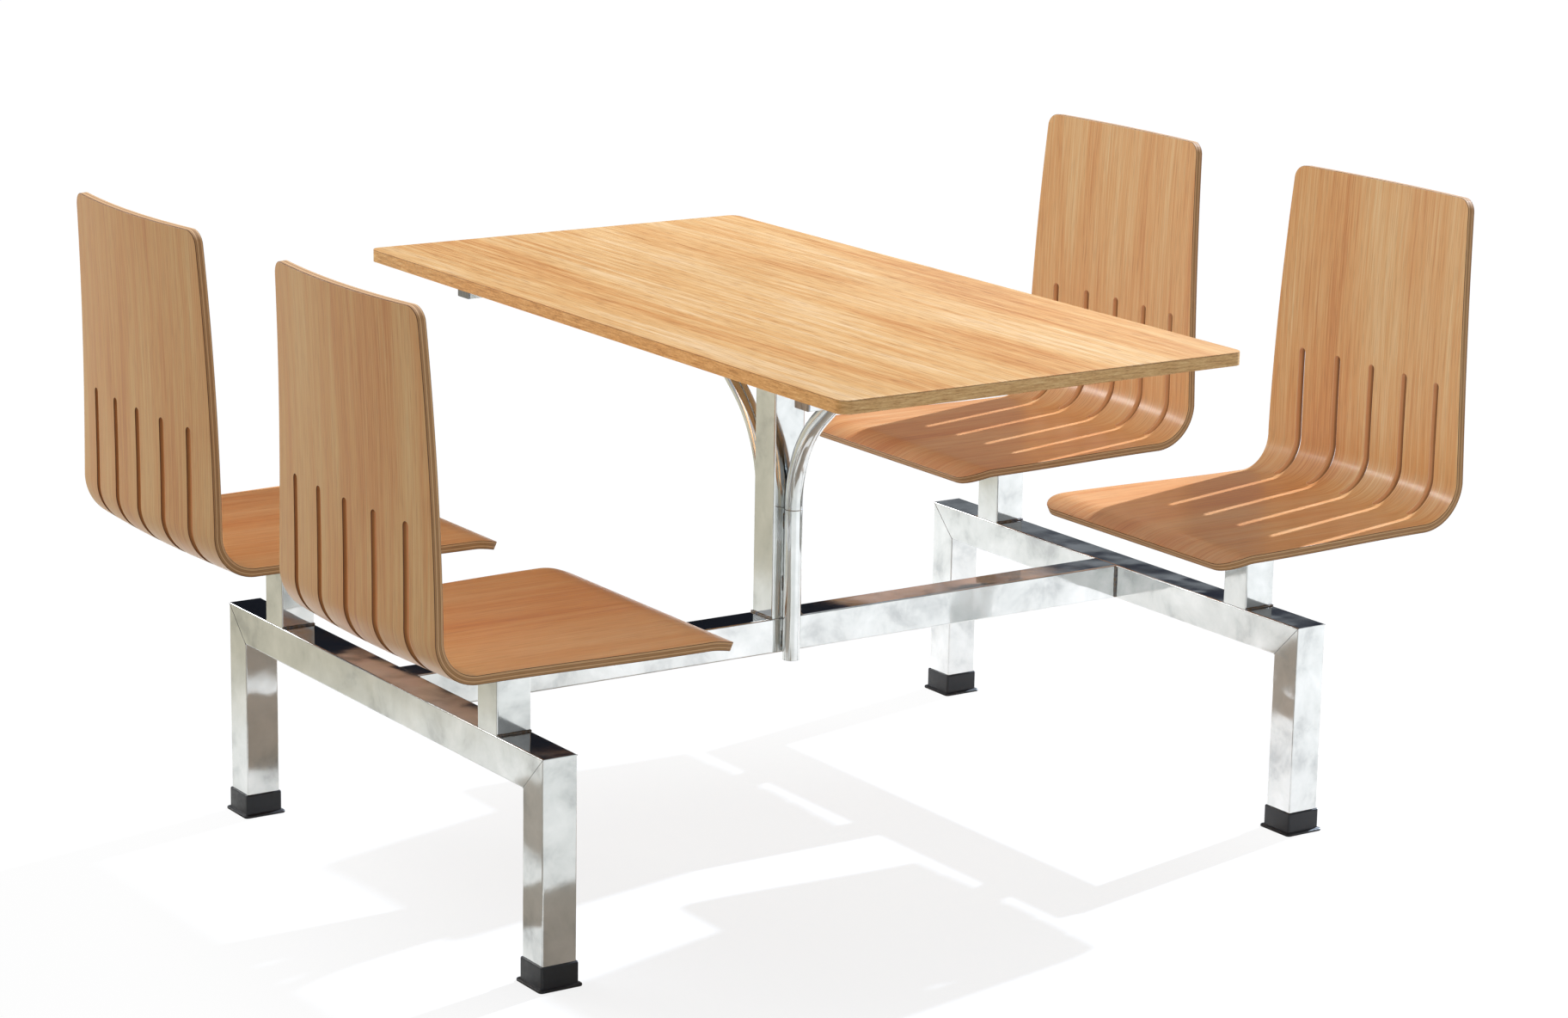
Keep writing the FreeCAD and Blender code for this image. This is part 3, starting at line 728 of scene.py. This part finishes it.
def eased_edge(radius):
    """(inset, depth) pairs from one face over the rim to the other, with both edges rounded."""
    quarter = [(radius * (1 - math.sin(a)), radius * (1 - math.cos(a)))
               for a in (math.pi / 2 * k / 3 for k in range(4))]
    side = [(radius * 1.9, 0.0)] + quarter + [(0.0, radius * 1.5)]
    return side + [(inset, shell_thickness - depth) for inset, depth in reversed(side)]


def join_rim(work, top_loop, bottom_loop, outsides, rim):
    """Join the two faces of the sheet along a closed line, over the (inset, depth) pairs of the rim."""
    start = rim[0][0]
    loops = [top_loop]
    for inset, depth in rim[1:-1]:
        loops.append([work.verts.new((x + nx * (start - inset), y + ny * (start - inset), depth))
                      for x, y, nx, ny in outsides])
    bridge(work, loops + [bottom_loop])


def squeezed(s, inset):
    """Rows close to the two ends, drawn in so that they stay inside the eased edge."""
    if s < front_corner:
        return inset + s * (front_corner - inset) / front_corner
    tail = sheet_ends - s
    if tail < back_corner:
        return sheet_ends - inset - tail * (back_corner - inset) / back_corner
    return s


def flat_blank():
    """The sheet before it is pressed: x along it, y across it, z its depth from the sitter's face."""
    rows, foot_block, foot_row, head_row, head_block = sheet_rows()
    last = len(rows) - 1
    block = slot_radius + slot_margin
    rim = eased_edge(sheet_ease)
    inset = rim[0][0]

    # which way is inwards at each end of each row
    ends = [(s, edge_width(s)) for s in rows]
    outline = [(rows[0], 0.0)] + ends + [(rows[last], 0.0)]
    inward = []
    for (ax, ay), (bx, by) in zip(outline, outline[2:]):
        length = math.hypot(bx - ax, by - ay)
        inward.append(((by - ay) / length, -(bx - ax) / length))
    inward[0], inward[last] = (1.0, 0.0), (-1.0, 0.0)

    # columns: three at each slot, four between two slots, and six from there to each edge
    fixed = []
    for k, y in enumerate(slot_ys):
        fixed += [y - block, y, y + block]
        if k + 1 < len(slot_ys):
            gap = slot_ys[k + 1] - y - 2 * block
            fixed += [y + block + gap * q / 5 for q in range(1, 5)]
    outer = fixed[-1]
    blocks = [6 + 7 * k for k in range(len(slot_ys))]
    grid = []
    for s, (_, half), (nx, ny) in zip(rows, ends, inward):
        x = squeezed(s, inset)
        end_x, end_y = s + nx * inset, half + ny * inset
        steps = [(x + (end_x - x) * t, outer + (end_y - outer) * t) for t in (q / 6 for q in range(1, 7))]
        grid.append([(a, -b) for a, b in reversed(steps)] + [(x, y) for y in fixed] + steps)
    columns = len(grid[0])

    # the two faces, open at the slots
    work = bmesh.new()
    faces = (0.0, True), (shell_thickness, False)
    gone = {(i, c + 1) for c in blocks for i in range(foot_block + 1, head_block)}
    layers = []
    for depth, _ in faces:
        layers.append([[None if (i, j) in gone else work.verts.new((x, y, depth))
                        for j, (x, y) in enumerate(points)] for i, points in enumerate(grid)])
    for layer, (_, upward) in zip(layers, faces):
        for i in range(last):
            for j in range(columns - 1):
                if foot_block <= i < head_block and any(c <= j < c + 2 for c in blocks):
                    continue
                cell = (layer[i][j], layer[i + 1][j], layer[i + 1][j + 1], layer[i][j + 1])
                work.faces.new(cell if upward else cell[::-1])

    # the outer rim: round the whole edge of the sheet
    edge = [(i, columns - 1) for i in range(last + 1)]
    edge += [(last, j) for j in range(columns - 2, -1, -1)]
    edge += [(i, 0) for i in range(last - 1, -1, -1)]
    edge += [(0, j) for j in range(1, columns - 1)]
    outsides = []
    for i, j in edge:
        if j in (0, columns - 1):
            way = (-inward[i][0], inward[i][1] if j == 0 else -inward[i][1])
        else:
            way = (-1.0, 0.0) if i == 0 else (1.0, 0.0)
        outsides.append((*grid[i][j], *way))
    join_rim(work, [layers[0][i][j] for i, j in edge], [layers[1][i][j] for i, j in edge], outsides, rim)

    # the slots: a ring of cells round each, then its wall
    slot_rim = eased_edge(slot_ease)
    reach = slot_radius + slot_rim[0][0]
    for y, c in zip(slot_ys, blocks):
        around = [(i, c + 2) for i in range(foot_row, head_block + 1)] + [(head_block, c + 1)]
        around += [(i, c) for i in range(head_block, foot_block - 1, -1)] + [(foot_block, c + 1)]
        around += [(i, c + 2) for i in range(foot_block, foot_row)]
        ring = []
        for side, first, end in ((1, foot_row, head_row), (-1, head_row, foot_row)):
            ring += [(rows[i], y + side * reach, 0.0, -side) for i in range(first, end + side, side)]
            for a in (math.pi * k / 8 for k in range(1, 8)):
                out_x, out_y = side * math.sin(a), side * math.cos(a)
                ring.append((rows[end] + reach * out_x, y + reach * out_y, -out_x, -out_y))
        walls = []
        for layer, (depth, upward) in zip(layers, faces):
            loop = [work.verts.new((px, py, depth)) for px, py, _, _ in ring]
            cells = [layer[i][j] for i, j in around]
            bridge(work, (loop, cells) if upward else (cells, loop))
            walls.append(loop)
        join_rim(work, *walls, ring, slot_rim)

    # how far across the sheet a point lies, and whether it belongs to a slot
    spread = work.verts.layers.float.new("spread")
    cut = work.verts.layers.float.new("cut")
    reach += 0.0002
    for v in work.verts:
        v[spread] = v.co.y / half_width(min(max(v.co.x, 0.0), sheet_ends))
        beside = min(abs(v.co.y - y) for y in slot_ys)
        v[cut] = float(beside < reach and slot_foot - reach < v.co.x < slot_head + reach)
    return finished(work, "shell_blank")


def moulding_press():
    """The mould as a node tree: it bends the flat sheet and keeps the sheet's own measure on it."""
    sizes = {"Pan height": pan_height, "Front reach": front_reach, "Lip radius": lip_radius,
             "Lip angle": lip_angle, "Lip ends": lip_ends, "Pan ends": pan_ends,
             "Pan run": pan_run, "Bend radius": bend_radius, "Bend angle": bend_angle,
             "Bend ends": bend_ends, "Back rise": back_rise, "Sheet ends": sheet_ends,
             "Foot slope": math.tan(foot_lean), "Head slope": math.tan(head_lean),
             "Foot lean": foot_lean, "Bow": back_bow, "Grain offset": 0.0}
    add, given = start_tree("moulding_press", sizes)
    flat = add("SeparateXYZ", (add("GeometryNodeInputPosition"),)).outputs
    spread = add("GeometryNodeInputNamedAttribute", {"Name": "spread"}, data_type="FLOAT")
    value = {name: given[name] for name in sizes}
    value.update({"along": flat[0], "across": flat[1], "depth": flat[2], "spread": spread, "none": 0.0})
    # which stretch of the sheet a point lies in: result, from, to, value at its start and end, curve
    stretches = (
        ("lip turn", "none", "Lip ends", "Lip angle", "none", "LINEAR"),
        ("pan way", "Lip ends", "Pan ends", "none", "Pan run", "LINEAR"),
        ("bend turn", "Pan ends", "Bend ends", "none", "Bend angle", "LINEAR"),
        ("back way", "Bend ends", "Sheet ends", "none", "Back rise", "LINEAR"),
        ("bow here", "Pan ends", "Bend ends", "none", "Bow", "SMOOTHSTEP"))
    for name, low, high, start, end, kind in stretches:
        terms = [value[term] for term in ("along", low, high, start, end)]
        value[name] = add("MapRange", terms, interpolation_type=kind)
    # the sums of the mould: result, operation, and what goes in
    sums = (
        ("back share", "DIVIDE", "back way", "Back rise"),
        ("slope gain", "SUBTRACT", "Head slope", "Foot slope"),
        ("slope", "MULTIPLY_ADD", "slope gain", "back share", "Foot slope"),
        ("lean", "ARCTANGENT", "slope"),
        ("lean gain", "SUBTRACT", "Foot lean", "lean"),
        ("turn", "ADD", "lip turn", "bend turn"),
        ("turned", "ADD", "turn", "lean gain"),
        ("lip sine", "SINE", "lip turn"),
        ("lip start sine", "SINE", "Lip angle"),
        ("lip gain", "SUBTRACT", "lip start sine", "lip sine"),
        ("x lip", "MULTIPLY", "lip gain", "Lip radius"),
        ("x pan", "ADD", "x lip", "pan way"),
        ("bend sine", "SINE", "bend turn"),
        ("x bend", "MULTIPLY_ADD", "bend sine", "Bend radius", "x pan"),
        ("mean slope", "ADD", "slope", "Foot slope"),
        ("half slope", "MULTIPLY", "mean slope", 0.5),
        ("x back", "MULTIPLY_ADD", "half slope", "back way", "x bend"),
        ("x sheet", "SUBTRACT", "x back", "Front reach"),
        ("lip cosine", "COSINE", "lip turn"),
        ("bend cosine", "COSINE", "bend turn"),
        ("lip drop", "SUBTRACT", 1.0, "lip cosine"),
        ("bend lift", "SUBTRACT", 1.0, "bend cosine"),
        ("z bend", "MULTIPLY_ADD", "bend lift", "Bend radius", "Pan height"),
        ("z back", "ADD", "z bend", "back way"),
        ("lip down", "MULTIPLY", "lip drop", "Lip radius"),
        ("z sheet", "SUBTRACT", "z back", "lip down"),
        ("spread squared", "MULTIPLY", "spread", "spread"),
        ("crown", "SUBTRACT", 1.0, "spread squared"),
        ("push", "MULTIPLY_ADD", "crown", "bow here", "depth"),
        ("turned sine", "SINE", "turned"),
        ("turned cosine", "COSINE", "turned"),
        ("x", "MULTIPLY_ADD", "turned sine", "push", "x sheet"),
        ("z push", "MULTIPLY", "turned cosine", "push"),
        ("z", "SUBTRACT", "z sheet", "z push"),
        ("across here", "ADD", "across", "Grain offset"))
    for name, operation, *terms in sums:
        terms = [value.get(term, term) for term in terms]
        value[name] = add("Math", terms, operation=operation)
    measure = add("CombineXYZ", (value["along"], value["across here"], value["depth"]))
    kept = add("GeometryNodeStoreNamedAttribute", {
        "Geometry": given["Geometry"], "Name": "sheet", "Value": measure},
        data_type="FLOAT_VECTOR", domain="POINT")
    pressed = add("CombineXYZ", (value["x"], value["across"], value["z"]))
    bent = add("GeometryNodeSetPosition", {"Geometry": kept, "Position": pressed})
    return end_tree(add, bent, given["Material"])


def moulded_plywood():
    # beech plywood in satin lacquer: fibre lines up the back, cross-laid plies along every edge
    material, add, shader, _ = start_material("beech_plywood_satin_lacquer", 0.0, 0.42)
    sheet = add("Attribute", attribute_name="sheet").outputs["Vector"]
    along, across, depth = add("SeparateXYZ", (sheet,)).outputs
    face, fibres = veneer_colours(add, along, across, (0.60, 0.32, 0.70), (
        (0.28, "D59052"), (0.43, "E3A868"), (0.57, "E8B97D"), (0.74, "EFCD97")), 0.16, 8.3)
    # the colour is made redder on the pan than on the back, and darker and browner on the outer face
    on_pan = add("MapRange", (along, pan_ends - 0.10, bend_ends + 0.05, 1.0, 0.0),
                 interpolation_type="SMOOTHSTEP")
    outside = add("Math", (depth, shell_thickness / 2), operation="GREATER_THAN")
    for where, tint in ((on_pan, "F6E4DD"), (outside, "E6D6C1")):
        face = add("Mix", (where, face, linear(tint)), data_type="RGBA", blend_type="MULTIPLY")
    # ply edges: light and tan leaves with thin dark glue lines, and a dark outline at
    # each face; lines and outline are drawn wider than they are, so that they show
    ply = add("Math", (depth, shell_thickness), operation="DIVIDE")
    grain = add("Math", (fibres, 0.05, -0.025), operation="MULTIPLY_ADD")
    ply = add("Math", (ply, grain), operation="ADD")
    light, tan, glue, dark = "CFA270", "AE7F50", "734D2D", "54371F"
    plies = add("ValToRGB", (ply,), (
        (0.06, dark), (0.09, light), (0.27, light), (0.30, glue), (0.34, tan), (0.50, tan),
        (0.53, glue), (0.57, light), (0.72, light), (0.75, glue), (0.78, tan), (0.91, tan), (0.94, dark)))
    # the slot walls carry painted light: a pale painted highlight line at the sitter's face, and painted
    # shade that darkens the wall towards the outer face, deeper in the slot
    slot_wall_highlight_and_shade = add("ValToRGB", (ply,), (
        (0.04, "F2CFA4"), (0.12, "E5AE7A"), (0.50, "D79C66"), (0.66, "A9743F"), (0.88, "8C5C30"),
        (0.95, "4F331C")))
    cut = add("Attribute", attribute_name="cut").outputs["Fac"]
    plies = add("Mix", (cut, plies, slot_wall_highlight_and_shade), data_type="RGBA")
    off = add("Math", (depth, shell_thickness / 2), operation="SUBTRACT")
    off = add("Math", (off,), operation="ABSOLUTE")
    at_edge = add("Math", (off, shell_thickness / 2 - 0.0002), operation="LESS_THAN")
    colour = add("Mix", (at_edge, face, plies), data_type="RGBA")
    # the sawn edges soak the lacquer up and stay dull
    rough, bump = satin_lacquer(add, fibres, 0.34, 0.5)
    rough = add("Math", (at_edge, 0.30, rough), operation="MULTIPLY_ADD")
    coat = add("Math", (at_edge, -0.3, 0.3), operation="MULTIPLY_ADD")
    feed(shader, {"Base Color": colour, "Roughness": rough, "Normal": bump, "Coat Weight": coat,
                  "Coat Roughness": 0.22})
    return material


plywood = moulded_plywood()
press = moulding_press()
blank = flat_blank()
grain_step = 0.9       # how far apart in one long veneer the four shells' leaves were cut
for number, place in enumerate(PLACES):
    name = "visual_seat_shell_" + place
    mesh = grown(name, blank, press, {"Grain offset": grain_step * (number + 1), "Material": plywood})
    swivel = next(joint for joint in swivels if joint["name"] == "swivel_" + place)
    x, y = swivel["pos_m"][:2]
    # the left seats face the other way
    turn = Matrix.Rotation(math.pi if x < 0 else 0.0, 4, "Z")
    mesh.transform(Matrix.Translation((x, y, 0.0)) @ turn)
    stand(name, mesh, "seat_" + place, "moulded_plywood", "seat_shell_" + place)

# ---------------- studio
# A white floor, a bright ceiling cloth, a low sun that shines through the slots, a soft box behind
# on the left, and beyond it black drapes and a glowing grey card that light nothing and show only in mirrors:
# painted reflections in the polished tubes and the lacquer.


def staged(name, corners, material):
    """A sheet of the studio between four corners."""
    mesh = bpy.data.meshes.new(name)
    mesh.from_pydata(corners, [], [(0, 1, 2, 3)])
    mesh.materials.append(material)
    sheet = placed(name, mesh)
    sheet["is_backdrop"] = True
    return sheet


paper = bpy.data.materials.new("white_paper_sweep")
add = emptied(paper)
ray = add("LightPath").outputs
spot = add("TexCoord").outputs["Object"]
# the eye sees the paper nearly white: a faint shadow by the legs that fades out further off
away = add("VectorMath", (spot, (-0.15, -0.30, 0.0)), operation="DISTANCE")
faded = add("MapRange", (away, 0.35, 0.95, 0.80, 0.965), interpolation_type="SMOOTHSTEP")
share = add("Math", (ray["Is Camera Ray"], faded), operation="MULTIPLY")
share = add("Math", (ray["Is Transmission Ray"], 0.10, share), operation="MULTIPLY_ADD")
# the steel sees the shadows as they are; the paper that it mirrors carries painted reflections, brighter on
# the right, duller on the left and dull behind it, and diffuse rays see the paper darker, which weakens the
# light that it bounces up
reach = add("VectorMath", (spot, (-0.75, 0.66, 0.0)), operation="DOT_PRODUCT")
dull_reflection_zone = add("MapRange", (reach, 0.90, 1.60, 0.0, 1.0), interpolation_type="SMOOTHSTEP")
across = add("SeparateXYZ", (spot,)).outputs["X"]
bright_reflection_zone = add("MapRange", (across, -0.2, 0.4, 0.0, 1.0), interpolation_type="SMOOTHSTEP")
# painted reflection colours of the paper for the steel, then the eye's white and the darker colour for
# diffuse rays
tone = (0.74, 0.69, 0.60, 1.0)
for where, colour in ((bright_reflection_zone, (0.93, 0.865, 0.77, 1.0)), (dull_reflection_zone, (0.42, 0.365, 0.26, 1.0)),
                      (ray["Is Camera Ray"], (0.90, 0.90, 0.90, 1.0)),
                      (ray["Is Diffuse Ray"], (0.45, 0.44, 0.42, 1.0))):
    tone = add("Mix", (where, tone, colour), data_type="RGBA")
matt = add("BsdfDiffuse", {"Color": tone})
glow = add("Emission", ((1.0, 1.0, 1.0, 1.0), 1.0))
sweep = add("MixShader", (share, matt, glow))
# from below the paper is clear, so that the underside can be looked at
below = add("NewGeometry").outputs["Backfacing"]
clear = add("BsdfTransparent")
sweep = add("MixShader", (below, sweep, clear))
add("OutputMaterial", {"Surface": sweep})
staged("floor", [(-30, -30, 0), (30, -30, 0), (30, 30, 0), (-30, 30, 0)], paper)

world = bpy.data.worlds.new("studio")
bpy.context.scene.world = world
add = emptied(world)
ray = add("LightPath").outputs
# brighter overhead and on the left, as under a big ceiling cloth with a window beside it
skyward = add("TexCoord").outputs["Generated"]
axes = add("SeparateXYZ", (skyward,)).outputs
level = add("MapRange", (axes["Z"], 0.0, 1.0, 0.34, 0.72))
level = add("Math", (axes["X"], -0.15, level), operation="MULTIPLY_ADD")
sky = add("Background", ((0.95, 0.97, 1.0, 1.0), level))
white = add("Background", ((1.0, 1.0, 1.0, 1.0), 1.0))
seen = add("Math", (ray["Is Camera Ray"], ray["Is Transmission Ray"]), operation="MAXIMUM")
backdrop = add("MixShader", (seen, sky, white))
add("OutputWorld", {"Surface": backdrop})


def lamp(name, kind, at, towards, **settings):
    """A lamp that points from one place towards another."""
    light = bpy.data.lights.new(name, kind)
    for setting, value in settings.items():
        setattr(light, setting, value)
    holder = placed(name, light)
    holder.location = at
    holder.rotation_euler = (Vector(towards) - Vector(at)).to_track_quat("-Z", "Y").to_euler()


lamp("low_sun", "SUN", (5.04, 1.14, 3.06), (0, 0, 0), energy=6.2, angle=math.radians(0.8),
     color=(0.86, 1.0, 1.22))
lamp("soft_box", "AREA", (-2.4, 4.6, 2.6), (0.4, 0.0, 0.5), energy=85.0, shape="RECTANGLE", size=2.2,
     size_y=1.0)


def drape(name, colour, distance, left, right, low, high):
    """An upright sheet of one glowing colour that only mirrors show, a painted reflection that lights
    nothing, from one bearing to another, in degrees from +Y to +X.
    """
    material = bpy.data.materials.new(name)
    add = emptied(material)
    plain = add("Emission", (colour, 1.0))
    add("OutputMaterial", {"Surface": plain})
    corners = [(distance * math.sin(math.radians(bearing)), distance * math.cos(math.radians(bearing)), z)
               for bearing, z in ((left, low), (right, low), (right, high), (left, high))]
    sheet = staged(name, corners, material)
    for side in ("visible_camera", "visible_diffuse", "visible_shadow", "visible_transmission"):
        setattr(sheet, side, False)


drape("black_drape_left", (0.012, 0.014, 0.02, 1.0), 12.0, -12.0, 35.2, 0.8, 7.5)
drape("black_drape_right", (0.03, 0.034, 0.05, 1.0), 12.0, 35.2, 72.0, 3.22, 7.5)
drape("grey_card_right", (0.24, 0.26, 0.285, 1.0), 12.2, 35.0, 60.0, 0.2, 3.5)

camera_data = bpy.data.cameras.new("camera")
camera_data.lens = 92.878
camera_data.sensor_width = 36.0
camera_data.clip_end = 100.0
camera = placed("camera", camera_data)
azimuth, elevation, roll = math.radians(33.9585), math.radians(13.6106), math.radians(1.0149)
camera.matrix_world = (Matrix.Translation((-3.081443, -4.589032, 1.795478))
                       @ Matrix.Rotation(-azimuth, 4, "Z")
                       @ Matrix.Rotation(math.pi / 2 - elevation, 4, "X")
                       @ Matrix.Rotation(roll, 4, "Z"))
bpy.context.scene.camera = camera
bpy.context.scene.view_settings.view_transform = "Standard"

low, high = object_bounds()
